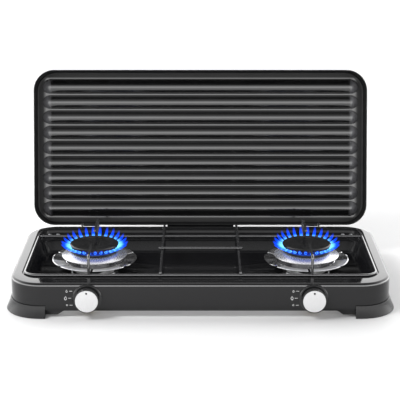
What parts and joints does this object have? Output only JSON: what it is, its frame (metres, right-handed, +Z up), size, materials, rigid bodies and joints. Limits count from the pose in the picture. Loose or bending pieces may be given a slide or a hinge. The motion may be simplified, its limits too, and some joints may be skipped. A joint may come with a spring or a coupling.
{
  "type": "camping stove",
  "caption": "Tabletop camping gas stove with two burners under a wire grate, a deep hinged corrugated lid, push-and-turn knobs, a drip tray and flared corner feet.",
  "frame": {"origin": "middle of the whole stove's plan, with the lid open, at the height its feet stand on", "axes": "+X to the stove's right seen from the knobs, +Y to the back, +Z up"},
  "size_m": [0.4946, 0.3364, 0.2598],
  "materials": {
    "enamel": "gloss black enamel",
    "lid_enamel": "satin gloss black enamel",
    "foot_plastic": "satin black",
    "zinc": "zinc plated",
    "wire_enamel": "gloss black enamel",
    "cast_alu": "as cast",
    "burner_steel": "satin",
    "bright": "mirror polished",
    "brass": "machined",
    "knob_black": "gloss black",
    "knob_silver": "satin silver"
  },
  "bodies": {
    "stove": {"body_shell": "enamel", "burner_body_left": "cast_alu", "burner_body_right": "cast_alu", "burner_cap_left": "enamel", "burner_cap_right": "enamel", "burner_cup_left": "bright", "burner_cup_right": "bright", "burner_head_left": "burner_steel", "burner_head_right": "burner_steel", "burner_screws": "zinc", "drip_tray": "enamel", "flame_skirt_left": "bright", "flame_skirt_right": "bright", "foot_front_left": "foot_plastic", "foot_front_right": "foot_plastic", "foot_rear_left": "foot_plastic", "foot_rear_right": "foot_plastic", "foot_screws": "zinc", "gas_inlet": "brass", "gas_rail": "zinc", "grate_cross_wire": "wire_enamel", "grate_front_prong_left": "wire_enamel", "grate_front_prong_right": "wire_enamel", "grate_long_wire_left": "wire_enamel", "grate_long_wire_right": "wire_enamel", "grate_outer_loop": "wire_enamel", "grate_rear_prong_left": "wire_enamel", "grate_rear_prong_right": "wire_enamel", "hinge_bracket_left": "lid_enamel", "hinge_bracket_right": "lid_enamel", "hinge_pins": "zinc", "injectors": "brass", "inlet_nut": "brass", "knob_bezel_left": "knob_black", "knob_bezel_right": "knob_black", "lid_stop": "enamel", "rear_screws": "zinc", "reflector_dish_left": "bright", "reflector_dish_right": "bright", "tray_brackets": "enamel", "tray_screws": "zinc", "valve_body_left": "brass", "valve_body_right": "brass", "valve_screws": "zinc", "venturi_tube_left": "cast_alu", "venturi_tube_right": "cast_alu"},
    "lid": {"lid_panel": "lid_enamel", "lid_leaf_left": "lid_enamel", "lid_leaf_right": "lid_enamel", "lid_rivets": "zinc"},
    "knob_push_left": {"thrust_collar_left": "zinc"},
    "knob_turn_left": {"knob_left": "knob_black", "knob_face_left": "knob_silver", "valve_stem_left": "brass"},
    "knob_push_right": {"thrust_collar_right": "zinc"},
    "knob_turn_right": {"knob_right": "knob_black", "knob_face_right": "knob_silver", "valve_stem_right": "brass"}
  },
  "joints": [
    {"name": "lid_hinge", "type": "hinge", "parent": "stove", "child": "lid", "pos_m": [0, 0.0854, 0.047], "axis": [1, 0, 0], "range_deg": [0, 103.7]},
    {"name": "knob_push_left", "type": "slide", "parent": "stove", "child": "knob_push_left", "axis": [0, 1, 0], "range_m": [0, 0.0025], "stiffness_N_per_m": 700, "springref_m": -0.0015},
    {"name": "knob_turn_left", "type": "hinge", "parent": "knob_push_left", "child": "knob_turn_left", "pos_m": [-0.141, -0.1646, 0.025], "axis": [0, -1, 0], "range_deg": [0, 180]},
    {"name": "knob_push_right", "type": "slide", "parent": "stove", "child": "knob_push_right", "axis": [0, 1, 0], "range_m": [0, 0.0025], "stiffness_N_per_m": 700, "springref_m": -0.0015},
    {"name": "knob_turn_right", "type": "hinge", "parent": "knob_push_right", "child": "knob_turn_right", "pos_m": [0.141, -0.1646, 0.025], "axis": [0, -1, 0], "range_deg": [0, 180]}
  ]
}
